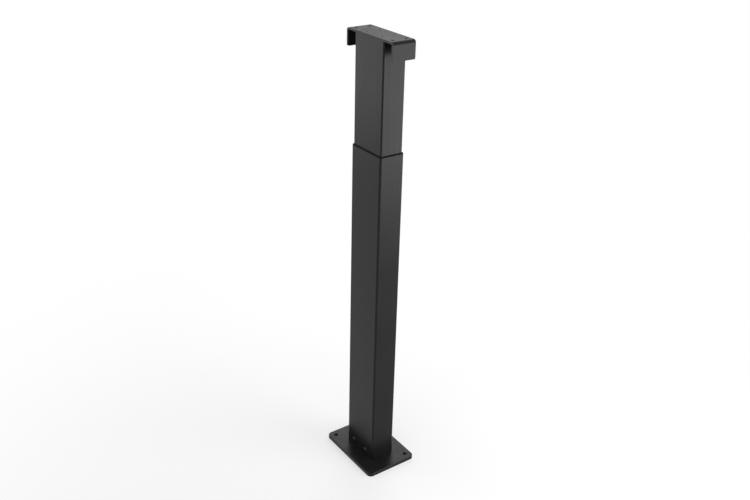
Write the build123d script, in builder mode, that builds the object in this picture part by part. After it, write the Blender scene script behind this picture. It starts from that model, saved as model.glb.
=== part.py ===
from build123d import *
import os
from math import acos, atan, cos, degrees, pi, radians, sin, tan

os.makedirs("parts", exist_ok=True)

# A two-stage telescopic lifting column, drawn part of the way up. Sizes are in millimetres.
# X runs across the narrow side, Y across the deep side with the front at -Y, and Z is up.
# The origin is the middle of the base plate's underside.

# Tubes
inner_width = 50.0
inner_depth = 90.0
inner_corner = 3.0
outer_corner = 4.0
tube_wall = 1.5
tube_gap = 1.0
insert_fit = 0.2

# Travel
stroke = 500.0
drawn_stroke = 174.0
closed_height = 47.0
overlap = 175.0
end_gap = 4.0
stop_gap = 2.5

# Base plate
base_width = 120.0
base_depth = 170.0
base_thickness = 8.0
base_corner = 10.0
base_edge_break = 0.8
base_hole_radius = 4.5
base_hole_x = 90.0
base_hole_y = 140.0

# Foot block inside the outer tube, and the screws that hold it
foot_height = 25.0
foot_fit = 0.1
foot_edge_break = 1.5
foot_pocket_width = 22.0
foot_pocket_depth = 12.0
foot_pocket_height = 14.0
foot_pocket_inset = 17.0
base_screw_x = 36.0
base_screw_y = 64.0
base_screw_length = 22.0
wall_screw_inset = 25.5
wall_screw_length = 12.0
set_screw_height = 6.0

# Screws, as radii, with heads and keys in proportion
m3_radius = 1.5
m4_radius = 2.0
m5_radius = 2.5
m6_radius = 3.0
head_ratio = 1.8
head_height_ratio = 1.1
key_ratio = 0.9
key_depth_ratio = 0.9
screw_fit = 0.05
seat_fit = 0.02

# Push tube and spindle nut
push_radius = 15.0
push_wall = 2.0
push_seat_depth = 12.0
push_fit = 0.05
nut_flange = 4.0
nut_body = 30.0
nut_pins = 3
nut_pin_length = 4.5
nut_pin_sink = 0.3
nut_pin_drop = 10.0
bumper_thickness = 3.0
bumper_bore = 10.0

# Glides of moulded plastic
glide_fit = 0.2
glide_seat = 0.1
collar_lip = 2.4
collar_slope = 1.6
collar_skirt = 32.0
shoe_flange = 3.0
shoe_plug = 20.0
shoe_wall = 2.5
shoe_ring_height = 15.0
shoe_ring_wall = 2.6
shoe_ring_fit = 0.4
shoe_rib = 3.0
pad_width = 14.0
pad_height = 34.0
pad_corner = 3.0
pad_rise = 24.0
pad_inset = 17.0
pad_stud_radius = 3.0
pad_stud_length = 3.0

# Top plate and top bracket
top_plate_thickness = 8.0
bracket_sheet = 4.0
bracket_reach = 27.0
bracket_lip = 35.0
bracket_bend = 2.0
lip_corner = 3.0
top_hole_radius = 3.3
top_hole_inset = 10.0
top_screw_inset = 11.0
top_screw_y = 46.0
top_screw_length = 11.0

# Motor, its end cap and its pad
can_radius = 21.0
can_height = 68.0
can_edge = 2.0
boss_radius = 8.0
boss_height = 3.0
shaft_radius = 2.0
shaft_fit = 0.1
cap_height = 18.0
cap_wall = 2.0
cap_edge = 3.0
cap_ledge = 2.0
motor_pad_thickness = 3.0
motor_pad_edge = 3.0
magnet_radius = 7.0
magnet_height = 3.0
magnet_gap = 1.0
board_thickness = 1.6
board_hole = 3.0

# Planetary gears, with a fixed ring
gear_module = 0.7
sun_teeth = 12
planet_teeth = 18
planets = 3
pressure_angle = 25.0
addendum = 0.9
dedendum = 1.25
tooth_thinning = 0.15
planet_height = 13.0
planet_side_gap = 0.3
planet_pin_radius = 2.5
pin_fit = 0.05

# Gearbox housing, motor flange and planet carrier
housing_depth = 56.0
housing_corner = 5.0
flange_thickness = 4.0
gear_head_room = 3.0
carrier_radius = 14.5
carrier_thickness = 4.0
carrier_plate_thickness = 2.0
carrier_eye = 6.0
carrier_floor_gap = 0.6
hub_radius = 10.0
hub_length = 17.0
gear_screw_inset = 6.0
gear_screw_grip = 12.0
motor_screw_spread = 26.0
motor_screw_length = 8.0

# Bearing block, ball bearing and what holds them
block_height = 35.0
block_bore = 13.0
block_edge_break = 1.0
block_pocket_width = 26.0
block_pocket_depth = 14.0
block_pocket_height = 15.0
block_pocket_inset = 10.0
tie_inset = 9.3
tie_grip = 14.0
retainer_margin = 1.3
retainer_corner = 4.0
retainer_thickness = 2.0
retainer_bore = 12.5
retainer_screw_inset = 4.0
retainer_screw_length = 10.0
bearing_bore = 6.0
bearing_radius = 16.0
bearing_width = 10.0
ball_radius = 3.0
balls = 7
ball_fit = 0.1
race_land = 1.85
cage_wall = 1.6
cage_height = 8.0
locknut_flats = 19.0
locknut_height = 6.0
bush_height = 13.0
bush_fit = 0.08

# Spindle, with a guide at its tip
spindle_radius = 8.0
nut_fit = 0.05
tenon_flats = 9.0
tenon_length = 14.0
tenon_fit = 0.1
guide_fit = 0.3
guide_height = 12.0
guide_screw_length = 16.0

# Motor socket in the inner tube's side wall
socket_inset = 15.0
socket_drop = 22.0
socket_width = 20.0
socket_height = 14.0
socket_corner = 1.5
socket_rim = 2.0
socket_rim_thickness = 1.5
socket_depth = 12.0
socket_wall = 2.4
socket_cavity = 9.0
contact_radius = 0.6
contact_length = 3.0
contact_pitch = 4.0

# Heights of the seats, worked out up from the floor
foot_top = base_thickness + foot_height
shoe_low = foot_top + end_gap + drawn_stroke
inner_low = shoe_low + shoe_flange
rim = foot_top + end_gap + stroke + overlap
bracket_top = rim + closed_height + drawn_stroke
inner_high = bracket_top - bracket_sheet

# Heights of the drive, worked out down from the top plate
plate_low = inner_high - top_plate_thickness
cap_high = plate_low - motor_pad_thickness
can_high = cap_high - cap_height
can_low = can_high - can_height
flange_low = can_low - flange_thickness
carrier_plate_low = flange_low - gear_head_room - carrier_plate_thickness
planet_low = carrier_plate_low - planet_side_gap - planet_height
carrier_low = planet_low - planet_side_gap - carrier_thickness
ring_low = carrier_low - carrier_floor_gap
block_low = ring_low - block_height
retainer_low = block_low - retainer_thickness

# Heights of the nut and the spindle, which meet their stops at the ends of the travel
retainer_head = m3_radius * head_height_ratio
guide_head = m6_radius * head_height_ratio
nut_high = retainer_low - retainer_head - drawn_stroke - stop_gap - bumper_thickness
push_high = nut_high - nut_flange
push_low = foot_top - push_seat_depth
guide_low = push_low + stop_gap + drawn_stroke + guide_head
spindle_low = guide_low + guide_height / 2
journal_high = block_low + bearing_width + locknut_height + stop_gap

# Widths that follow from the tubes
outer_width = inner_width + 2 * (tube_gap + tube_wall)
outer_depth = inner_depth + 2 * (tube_gap + tube_wall)
room_width = outer_width - 2 * tube_wall
room_depth = outer_depth - 2 * tube_wall
room_corner = outer_corner - tube_wall
insert_width = inner_width - 2 * (tube_wall + insert_fit)
insert_depth = inner_depth - 2 * (tube_wall + insert_fit)
insert_corner = inner_corner - tube_wall
bracket_depth = inner_depth + 2 * bracket_reach
top_hole_x = inner_width - 2 * top_hole_inset
top_hole_y = inner_depth + bracket_reach - bracket_sheet
retainer_side = insert_width - 2 * retainer_margin

# Gear sizes that follow from the teeth
ring_teeth = sun_teeth + 2 * planet_teeth
gear_centres = gear_module * (sun_teeth + planet_teeth) / 2
ball_circle = (bearing_bore + bearing_radius) / 2
sink_angle = 2 * degrees(atan((head_ratio - 1) / head_height_ratio))

standing = (Align.CENTER, Align.CENTER, Align.MIN)
hanging = (Align.CENTER, Align.CENTER, Align.MAX)
right_wall = Plane(origin=(outer_width / 2, 0, 0), x_dir=(0, 1, 0), z_dir=(1, 0, 0))
left_wall = Plane(origin=(-outer_width / 2, 0, 0), x_dir=(0, -1, 0), z_dir=(-1, 0, 0))
underside = Plane.XY.rotated((180, 0, 0))


def keep(piece, name):
    """Label a finished piece and write it."""
    piece.part.label = name
    export_step(piece.part, f"parts/{name}.step")


def bar(width, depth, corner, low, high, mode=Mode.ADD):
    """A rounded bar standing between two heights, in the part being made."""
    with BuildSketch(Plane.XY.offset(low)) as outline:
        RectangleRounded(width, depth, corner)
    extrude(outline.sketch, amount=high - low, mode=mode)


def bore(radius, low, high, spots=((0, 0),)):
    """Round holes through the part being made, between two heights."""
    with BuildSketch(Plane.XY.offset(low)) as outline:
        with Locations(*spots):
            Circle(radius)
    extrude(outline.sketch, amount=high - low, mode=Mode.SUBTRACT)


def turned(corners):
    """A turned solid about the column's axis, from the (radius, height) corners of its half."""
    with BuildSketch(Plane.XZ) as half:
        with BuildLine():
            Polyline(*corners, close=True)
        make_face()
    revolve(half.sketch, axis=Axis.Z)


def ring(inside, outside, low, high):
    """A plain ring about the column's axis."""
    turned([(inside, low), (outside, low), (outside, high), (inside, high)])


def screws(plane, spots, radius, length, head="proud"):
    """Socket screws driven down into a plane, with a head that is proud, sunk or none."""
    head_height = radius * head_height_ratio
    with Locations(plane):
        with Locations(*spots):
            Cylinder(radius, length, align=hanging)
            if head == "proud":
                Cylinder(radius * head_ratio, head_height, align=standing)
            if head == "sunk":
                Cone(radius, radius * head_ratio, head_height, align=hanging)
    with BuildSketch(plane.offset(head_height) if head == "proud" else plane) as keys:
        with Locations(*spots):
            RegularPolygon(radius * key_ratio, 6)
    extrude(keys.sketch, amount=-radius * key_depth_ratio, mode=Mode.SUBTRACT)


def screw_holes(plane, spots, radius, length, sunk=False):
    """Cut the holes that such screws go into, as deep as the screws are long."""
    with Locations(plane):
        with Locations(*spots):
            Hole(radius + screw_fit, length + screw_fit)
            if sunk:
                sink_radius = radius * head_ratio + screw_fit
                CounterSinkHole(radius + screw_fit, sink_radius, length, sink_angle)


def four(x, y):
    """The corners of a rectangle, x by y between centres."""
    return [(i * x / 2, j * y / 2) for i in (-1, 1) for j in (-1, 1)]


def two(y, height=0):
    """Two spots at one height, y apart."""
    return [(-y / 2, height), (y / 2, height)]


# Base plate, with four holes for the bolts that hold it down
base_screw_spots = four(base_screw_x, base_screw_y)
with BuildPart() as base_plate:
    bar(base_width, base_depth, base_corner, 0, base_thickness)
    chamfer(base_plate.faces().sort_by(Axis.Z)[-1].edges(), base_edge_break)
    with GridLocations(base_hole_x, base_hole_y, 2, 2):
        Hole(base_hole_radius)
    screw_holes(underside, base_screw_spots, m6_radius, base_thickness, sunk=True)
keep(base_plate, "base_plate")

with BuildPart() as base_screws:
    screws(underside, base_screw_spots, m6_radius, base_screw_length, head="sunk")
keep(base_screws, "base_screws")

# Foot block, which fills the outer tube's foot and seats the push tube
wall_screw_spots = two(outer_depth - 2 * wall_screw_inset, base_thickness + foot_height / 2)
set_screw_spots = [(0, push_low + set_screw_height)]
set_screw_depth = outer_width / 2 - push_radius - push_fit
with BuildPart() as foot_block:
    foot_width = room_width - 2 * foot_fit
    foot_depth = room_depth - 2 * foot_fit
    bar(foot_width, foot_depth, room_corner - foot_fit, base_thickness, foot_top)
    chamfer(foot_block.faces().sort_by(Axis.Z)[-1].edges(), foot_edge_break)
    bore(push_radius + push_fit, push_low, foot_top)
    with BuildSketch(Plane.XY.offset(base_thickness)):
        with GridLocations(0, foot_depth - 2 * foot_pocket_inset, 1, 2):
            RectangleRounded(foot_pocket_width, foot_pocket_depth, foot_edge_break)
    extrude(amount=foot_pocket_height, mode=Mode.SUBTRACT)
    screw_holes(underside, base_screw_spots, m6_radius, base_screw_length)
    for wall in (right_wall, left_wall):
        screw_holes(wall, wall_screw_spots, m5_radius, wall_screw_length)
        screw_holes(wall, set_screw_spots, m6_radius, set_screw_depth)
keep(foot_block, "foot_block")

with BuildPart() as push_tube_set_screws:
    block_side = tube_wall + foot_fit
    for wall in (right_wall, left_wall):
        seat = wall.offset(-block_side - screw_fit)
        screws(seat, set_screw_spots, m6_radius, set_screw_depth - block_side, head="none")
keep(push_tube_set_screws, "push_tube_set_screws")

# Outer tube, with the screws that go through its wall into the foot block
with BuildPart() as outer_tube:
    bar(outer_width, outer_depth, outer_corner, base_thickness, rim)
    bar(room_width, room_depth, room_corner, base_thickness, rim, Mode.SUBTRACT)
    for wall in (right_wall, left_wall):
        screw_holes(wall, wall_screw_spots, m5_radius, tube_wall)
keep(outer_tube, "outer_tube")

with BuildPart() as outer_tube_screws:
    for wall in (right_wall, left_wall):
        screws(wall, wall_screw_spots, m5_radius, wall_screw_length)
keep(outer_tube_screws, "outer_tube_screws")

# Push tube, which stands in the foot block and carries the spindle nut
nut_pin_height = push_high - nut_pin_drop
nut_pin_planes = [
    Plane(origin=(0, 0, nut_pin_height), z_dir=(cos(turn), sin(turn), 0)).offset(
        push_radius - nut_pin_sink
    )
    for turn in [2 * pi * n / nut_pins for n in range(nut_pins)]
]
with BuildPart() as push_tube:
    ring(push_radius - push_wall, push_radius, push_low, push_high)
    for plane in nut_pin_planes:
        screw_holes(plane, [(0, 0)], m4_radius, nut_pin_length)
keep(push_tube, "push_tube")

with BuildPart() as spindle_nut:
    nut_bore = spindle_radius + nut_fit
    nut_radius = push_radius - push_wall - push_fit
    turned(
        [
            (nut_bore, push_high - nut_body),
            (nut_radius, push_high - nut_body),
            (nut_radius, push_high),
            (push_radius, push_high),
            (push_radius, nut_high),
            (nut_bore, nut_high),
        ]
    )
    for plane in nut_pin_planes:
        screw_holes(plane, [(0, 0)], m4_radius, nut_pin_length)
keep(spindle_nut, "spindle_nut")

with BuildPart() as nut_pin_set:
    for plane in nut_pin_planes:
        screws(plane, [(0, 0)], m4_radius, nut_pin_length, head="none")
keep(nut_pin_set, "nut_pins")

with BuildPart() as nut_bumper:
    ring(bumper_bore, push_radius, nut_high, nut_high + bumper_thickness)
keep(nut_bumper, "nut_bumper")

# Glide collar, with a sloped lip on the outer tube's rim and a skirt inside the tube
with BuildPart() as glide_collar:
    bar(outer_width, outer_depth, outer_corner, rim, rim + collar_lip)
    chamfer(glide_collar.faces().sort_by(Axis.Z)[-1].edges(), collar_slope)
    skirt_width = room_width - 2 * glide_seat
    skirt_depth = room_depth - 2 * glide_seat
    bar(skirt_width, skirt_depth, room_corner - glide_seat, rim - collar_skirt, rim)
    slide_width = inner_width + 2 * glide_fit
    slide_depth = inner_depth + 2 * glide_fit
    slide_corner = inner_corner + glide_fit
    slide = (slide_width, slide_depth, slide_corner, rim - collar_skirt, rim + collar_lip)
    bar(*slide, Mode.SUBTRACT)
keep(glide_collar, "glide_collar")

# Inner tube, with holes for the glide pads' studs and a cut-out for the motor socket
pad_height_middle = inner_low + pad_rise
side_pad_spots = two(inner_depth - 2 * pad_inset, pad_height_middle)
end_pad_spots = [(0, pad_height_middle)]
inner_right = right_wall.offset(-tube_gap - tube_wall)
inner_left = left_wall.offset(-tube_gap - tube_wall)
inner_front = Plane(origin=(0, -inner_depth / 2, 0), x_dir=(1, 0, 0), z_dir=(0, -1, 0))
inner_back = Plane(origin=(0, inner_depth / 2, 0), x_dir=(-1, 0, 0), z_dir=(0, 1, 0))
pad_sides = [
    (inner_right, side_pad_spots),
    (inner_left, side_pad_spots),
    (inner_front, end_pad_spots),
    (inner_back, end_pad_spots),
]
socket_place = Plane(
    origin=(inner_width / 2, inner_depth / 2 - socket_inset, inner_high - socket_drop),
    x_dir=(0, 1, 0),
    z_dir=(1, 0, 0),
)
with BuildPart() as inner_tube:
    bar(inner_width, inner_depth, inner_corner, inner_low, inner_high)
    inside = (inner_width - 2 * tube_wall, inner_depth - 2 * tube_wall, insert_corner)
    bar(*inside, inner_low, inner_high, Mode.SUBTRACT)
    for side, spots in pad_sides:
        screw_holes(side, spots, pad_stud_radius, tube_wall)
    with BuildSketch(socket_place):
        RectangleRounded(socket_width, socket_height, socket_corner)
    extrude(amount=-tube_wall, mode=Mode.SUBTRACT)
keep(inner_tube, "inner_tube")

with BuildPart() as glide_pads:
    for side, spots in pad_sides:
        with BuildSketch(side) as faces:
            with Locations(*spots):
                RectangleRounded(pad_width, pad_height, pad_corner)
        extrude(faces.sketch, amount=tube_gap - glide_fit)
        with BuildSketch(side) as studs:
            with Locations(*spots):
                Circle(pad_stud_radius)
        extrude(studs.sketch, amount=-pad_stud_length)
keep(glide_pads, "glide_pads")

# Glide shoe, which plugs the inner tube's foot and steadies the push tube
with BuildPart() as glide_shoe:
    shoe_width = room_width - 2 * glide_fit
    shoe_depth = room_depth - 2 * glide_fit
    bar(shoe_width, shoe_depth, room_corner - glide_fit, shoe_low, inner_low)
    bar(insert_width, insert_depth, insert_corner, inner_low, inner_low + shoe_plug)
    hollow_width = insert_width - 2 * shoe_wall
    hollow_depth = insert_depth - 2 * shoe_wall
    hollow = (hollow_width, hollow_depth, insert_corner, shoe_low, inner_low + shoe_plug)
    bar(*hollow, Mode.SUBTRACT)
    shoe_bore = push_radius + shoe_ring_fit
    with BuildSketch(Plane.XY.offset(shoe_low)):
        Circle(shoe_bore + shoe_ring_wall)
        Rectangle(hollow_width + shoe_wall, shoe_rib)
        Rectangle(shoe_rib, hollow_depth + shoe_wall)
    extrude(amount=shoe_ring_height)
    bore(shoe_bore, shoe_low, shoe_low + shoe_ring_height)
keep(glide_shoe, "glide_shoe")

# Top plate, welded in the inner tube's head
tie_y = insert_depth / 2 - tie_inset
tie_spots = [(0, -tie_y), (0, tie_y)]
top_screw_spots = four(inner_width - 2 * top_screw_inset, top_screw_y)
bracket_face = Plane.XY.offset(bracket_top)
plate_face = Plane.XY.offset(inner_high)
tie_length = inner_high - ring_low + tie_grip
with BuildPart() as top_plate:
    bar(insert_width, insert_depth, insert_corner, plate_low, inner_high)
    screw_holes(plate_face, tie_spots, m5_radius, top_plate_thickness, sunk=True)
    screw_holes(bracket_face, top_screw_spots, m6_radius, top_screw_length)
keep(top_plate, "top_plate")

with BuildPart() as tie_bolts:
    screws(plate_face, tie_spots, m5_radius, tie_length, head="sunk")
keep(tie_bolts, "tie_bolts")

# Top bracket of bent sheet, with a lip at the front and one at the back
with BuildPart() as top_bracket:
    lip_low = bracket_top - bracket_lip
    with BuildSketch(Plane.YZ.offset(-inner_width / 2)) as section:
        with BuildLine():
            outer = [(-bracket_depth / 2, lip_low), (-bracket_depth / 2, bracket_top)]
            outer += [(-y, z) for y, z in reversed(outer)]
            FilletPolyline(*outer, radius=bracket_bend + bracket_sheet)
            inner = [(y - bracket_sheet * (1 if y > 0 else -1), z) for y, z in outer]
            inner = [(y, z if z < bracket_top else inner_high) for y, z in inner]
            FilletPolyline(*inner, radius=bracket_bend)
            Line(outer[0], inner[0])
            Line(outer[-1], inner[-1])
        make_face()
    extrude(amount=inner_width)
    feet = top_bracket.edges().filter_by(Axis.Y).group_by(Axis.Z)[0]
    fillet(feet, lip_corner)
    with Locations(bracket_face):
        with GridLocations(top_hole_x, top_hole_y, 2, 2):
            Hole(top_hole_radius, bracket_sheet)
    screw_holes(bracket_face, top_screw_spots, m6_radius, bracket_sheet, sunk=True)
keep(top_bracket, "top_bracket")

with BuildPart() as bracket_screws:
    screws(bracket_face, top_screw_spots, m6_radius, top_screw_length, head="sunk")
keep(bracket_screws, "bracket_screws")

# Motor, from its rubber pad down
with BuildPart() as motor_pad:
    ring(cap_edge, can_radius - motor_pad_edge, cap_high, plate_low)
keep(motor_pad, "motor_pad")

magnet_low = can_high + magnet_gap
board_low = magnet_low + magnet_height + magnet_gap
board_high = board_low + board_thickness
with BuildPart() as motor_end_cap:
    cap_inside = can_radius - cap_wall
    turned(
        [
            (0, cap_high - cap_wall),
            (cap_inside - cap_ledge, cap_high - cap_wall),
            (cap_inside - cap_ledge, board_high),
            (cap_inside, board_high),
            (cap_inside, can_high),
            (can_radius, can_high),
            (can_radius, cap_high),
            (0, cap_high),
        ]
    )
    fillet(motor_end_cap.edges().group_by(Axis.Z)[-1], cap_edge)
keep(motor_end_cap, "motor_end_cap")

with BuildPart() as sensor_board:
    ring(board_hole, can_radius - cap_wall - insert_fit, board_low, board_high)
keep(sensor_board, "sensor_board")

with BuildPart() as sensor_magnet:
    ring(shaft_radius + seat_fit, magnet_radius, magnet_low, magnet_low + magnet_height)
keep(sensor_magnet, "sensor_magnet")

with BuildPart() as motor_shaft:
    ring(0, shaft_radius, planet_low, magnet_low + magnet_height)
keep(motor_shaft, "motor_shaft")

motor_screw_x = motor_screw_spread / 2
motor_screw_spots = [(-motor_screw_x, 0), (motor_screw_x, 0)]
flange_underside = underside.offset(-flange_low)
with BuildPart() as motor_can:
    can_outline = [
        (shaft_radius + shaft_fit, can_low - boss_height),
        (boss_radius, can_low - boss_height),
        (boss_radius, can_low),
        (can_radius, can_low),
        (can_radius, can_high),
        (shaft_radius + shaft_fit, can_high),
    ]
    turned(can_outline)
    rims = motor_can.edges().filter_by(GeomType.CIRCLE).filter_by(lambda e: e.radius > boss_radius)
    fillet(rims, can_edge)
    screw_holes(flange_underside, motor_screw_spots, m3_radius, motor_screw_length)
keep(motor_can, "motor_can")

gear_screw_x = insert_width - 2 * gear_screw_inset
gear_screw_spots = four(gear_screw_x, housing_depth - 2 * gear_screw_inset)
flange_face = Plane.XY.offset(can_low)
gear_screw_length = can_low - ring_low + gear_screw_grip
with BuildPart() as motor_flange:
    bar(insert_width, housing_depth, housing_corner, flange_low, can_low)
    bore(boss_radius + screw_fit, flange_low, can_low)
    screw_holes(flange_face, gear_screw_spots, m4_radius, flange_thickness)
    screw_holes(flange_underside, motor_screw_spots, m3_radius, flange_thickness, sunk=True)
keep(motor_flange, "motor_flange")

with BuildPart() as motor_screws:
    screws(flange_underside, motor_screw_spots, m3_radius, motor_screw_length, head="sunk")
keep(motor_screws, "motor_screws")

with BuildPart() as gearbox_screws:
    screws(flange_face, gear_screw_spots, m4_radius, gear_screw_length)
keep(gearbox_screws, "gearbox_screws")


def gear_outline(teeth, root, tip, thickening, half_pitch_turns):
    """Corners of an involute gear, from its root and tip radii, going round once."""
    pitch_radius = gear_module * teeth / 2
    base_radius = pitch_radius * cos(radians(pressure_angle))
    start = max(root, base_radius)
    middle = (start + tip) / 2

    def involute(radius):
        roll = acos(min(1, base_radius / radius))
        return tan(roll) - roll

    def half_angle(radius):
        at_pitch = pi / (2 * teeth) + thickening / (2 * pitch_radius)
        return at_pitch + involute(pitch_radius) - involute(max(radius, base_radius))

    flank = [(r, half_angle(r)) for r in sorted({root, start, middle, tip})]
    tooth = [(r, -a) for r, a in flank] + [(r, a) for r, a in reversed(flank)]
    centres = [(2 * n + half_pitch_turns) * pi / teeth for n in range(teeth)]
    return [(r * cos(c + a), r * sin(c + a)) for c in centres for r, a in tooth]


def gear(corners, low, high, mode=Mode.ADD):
    """A gear, or the hole inside a ring gear, between two heights."""
    with BuildSketch(Plane.XY.offset(low)) as outline:
        with BuildLine():
            Polyline(*corners, close=True)
        make_face()
    extrude(outline.sketch, amount=high - low, mode=mode)


# Planetary gears: the sun on the motor shaft, three planets and the fixed ring
planet_high = planet_low + planet_height
sun_radius = gear_module * sun_teeth / 2
planet_radius = gear_module * planet_teeth / 2
ring_radius = gear_module * ring_teeth / 2
tip_height = gear_module * addendum
root_depth = gear_module * dedendum
with BuildPart() as sun_gear:
    sun_sizes = (sun_radius - root_depth, sun_radius + tip_height, -tooth_thinning, 0)
    gear(gear_outline(sun_teeth, *sun_sizes), planet_low, planet_high)
    bore(shaft_radius + seat_fit, planet_low, planet_high)
keep(sun_gear, "sun_gear")

planet_spots = [
    (gear_centres * cos(turn), gear_centres * sin(turn))
    for turn in [2 * pi * n / planets for n in range(planets)]
]
planet_sizes = (planet_radius - root_depth, planet_radius + tip_height, -tooth_thinning, 1)
planet_outline = gear_outline(planet_teeth, *planet_sizes)
for number, (x, y) in enumerate(planet_spots, start=1):
    with BuildPart() as planet_gear:
        shifted = [(x + px, y + py) for px, py in planet_outline]
        gear(shifted, planet_low, planet_high)
        bore(planet_pin_radius + pin_fit, planet_low, planet_high, [(x, y)])
    keep(planet_gear, f"planet_gear_{number}")

with BuildPart() as ring_gear:
    bar(insert_width, housing_depth, housing_corner, ring_low, flange_low)
    ring_sizes = (ring_radius - tip_height, ring_radius + root_depth, tooth_thinning, 1)
    gear(gear_outline(ring_teeth, *ring_sizes), ring_low, flange_low, Mode.SUBTRACT)
    screw_holes(flange_face, gear_screw_spots, m4_radius, gear_screw_length)
keep(ring_gear, "ring_gear")

# Planet carrier, which turns the spindle through a six-sided socket
carrier_high = carrier_low + carrier_thickness
hub_low = carrier_low - hub_length
carrier_plate_high = carrier_plate_low + carrier_plate_thickness
with BuildPart() as planet_carrier:
    turned(
        [
            (0, hub_low),
            (hub_radius, hub_low),
            (hub_radius, carrier_low),
            (carrier_radius, carrier_low),
            (carrier_radius, carrier_high),
            (0, carrier_high),
        ]
    )
    bore(planet_pin_radius + seat_fit, carrier_low, carrier_high, planet_spots)
    with BuildSketch(Plane.XY.offset(hub_low)):
        RegularPolygon(tenon_flats / 2 + tenon_fit, 6, major_radius=False)
    extrude(amount=tenon_length, mode=Mode.SUBTRACT)
keep(planet_carrier, "planet_carrier")

with BuildPart() as carrier_plate:
    ring(carrier_eye, carrier_radius, carrier_plate_low, carrier_plate_high)
    pin_hole = planet_pin_radius + seat_fit
    bore(pin_hole, carrier_plate_low, carrier_plate_high, planet_spots)
keep(carrier_plate, "carrier_plate")

with BuildPart() as planet_pins:
    with BuildSketch(Plane.XY.offset(carrier_low)):
        with Locations(*planet_spots):
            Circle(planet_pin_radius)
    extrude(amount=carrier_plate_high - carrier_low)
keep(planet_pins, "planet_pins")

# Bearing block, which carries the load from the tube to the spindle
retainer_face = underside.offset(-retainer_low)
retainer_spots = four(*[retainer_side - 2 * retainer_screw_inset] * 2)
with BuildPart() as bearing_block:
    bar(insert_width, insert_depth, insert_corner, block_low, ring_low)
    chamfer(bearing_block.faces().sort_by(Axis.Z)[-1].edges(), block_edge_break)
    bore(bearing_radius + seat_fit, block_low, block_low + bearing_width)
    bore(block_bore, block_low, ring_low)
    with BuildSketch(Plane.XY.offset(block_low)):
        with GridLocations(0, insert_depth - 2 * block_pocket_inset, 1, 2):
            RectangleRounded(block_pocket_width, block_pocket_depth, block_edge_break)
    extrude(amount=block_pocket_height, mode=Mode.SUBTRACT)
    screw_holes(plate_face, tie_spots, m5_radius, tie_length)
    screw_holes(flange_face, gear_screw_spots, m4_radius, gear_screw_length)
    screw_holes(retainer_face, retainer_spots, m3_radius, retainer_screw_length)
keep(bearing_block, "bearing_block")

with BuildPart() as carrier_bush:
    ring(hub_radius + bush_fit, block_bore - seat_fit, ring_low - bush_height, ring_low)
keep(carrier_bush, "carrier_bush")

with BuildPart() as bearing_retainer:
    bar(retainer_side, retainer_side, retainer_corner, retainer_low, block_low)
    bore(retainer_bore, retainer_low, block_low)
    screw_holes(retainer_face, retainer_spots, m3_radius, retainer_thickness)
keep(bearing_retainer, "bearing_retainer")

with BuildPart() as retainer_screws:
    screws(retainer_face, retainer_spots, m3_radius, retainer_screw_length)
keep(retainer_screws, "retainer_screws")

# Deep-groove ball bearing
bearing_middle = block_low + bearing_width / 2
bearing_high = block_low + bearing_width
for name, inside, outside in (
    ("bearing_inner_ring", bearing_bore, ball_circle - race_land),
    ("bearing_outer_ring", ball_circle + race_land, bearing_radius),
):
    with BuildPart() as race:
        ring(inside, outside, block_low, bearing_high)
        with BuildSketch(Plane.XZ) as groove:
            with Locations((ball_circle, bearing_middle)):
                Circle(ball_radius + ball_fit)
        revolve(groove.sketch, axis=Axis.Z, mode=Mode.SUBTRACT)
    keep(race, name)

with BuildPart(Plane.XY.offset(bearing_middle)) as bearing_balls:
    with PolarLocations(ball_circle, balls):
        Sphere(ball_radius)
keep(bearing_balls, "bearing_balls")

with BuildPart() as ball_cage:
    cage_low = bearing_middle - cage_height / 2
    cage = (ball_circle - cage_wall / 2, ball_circle + cage_wall / 2)
    ring(*cage, cage_low, cage_low + cage_height)
    with Locations(Plane.XY.offset(bearing_middle)):
        with PolarLocations(ball_circle, balls):
            pocket = ball_radius + ball_fit
            Cylinder(pocket, 2 * cage_wall, rotation=(0, 90, 0), mode=Mode.SUBTRACT)
keep(ball_cage, "ball_cage")

with BuildPart() as bearing_locknut:
    with BuildSketch(Plane.XY.offset(bearing_high)):
        RegularPolygon(locknut_flats / 2, 6, major_radius=False)
        Circle(bearing_bore, mode=Mode.SUBTRACT)
    extrude(amount=locknut_height)
keep(bearing_locknut, "bearing_locknut")

# Spindle, with its journal in the bearing and its tenon in the carrier
with BuildPart() as spindle:
    journal = bearing_bore - seat_fit
    turned(
        [
            (0, spindle_low),
            (spindle_radius, spindle_low),
            (spindle_radius, block_low),
            (journal, block_low),
            (journal, journal_high),
            (0, journal_high),
        ]
    )
    with BuildSketch(Plane.XY.offset(journal_high)):
        RegularPolygon(tenon_flats / 2, 6, major_radius=False)
    extrude(amount=tenon_length)
    screw_holes(underside.offset(-guide_low), [(0, 0)], m6_radius, guide_screw_length)
keep(spindle, "spindle")

with BuildPart() as spindle_guide:
    ring(0, push_radius - push_wall - guide_fit, guide_low, guide_low + guide_height)
    bore(spindle_radius + seat_fit, spindle_low, guide_low + guide_height)
    screw_holes(underside.offset(-guide_low), [(0, 0)], m6_radius, guide_height)
keep(spindle_guide, "spindle_guide")

with BuildPart() as guide_screw:
    screws(underside.offset(-guide_low), [(0, 0)], m6_radius, guide_screw_length)
keep(guide_screw, "guide_screw")

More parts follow.
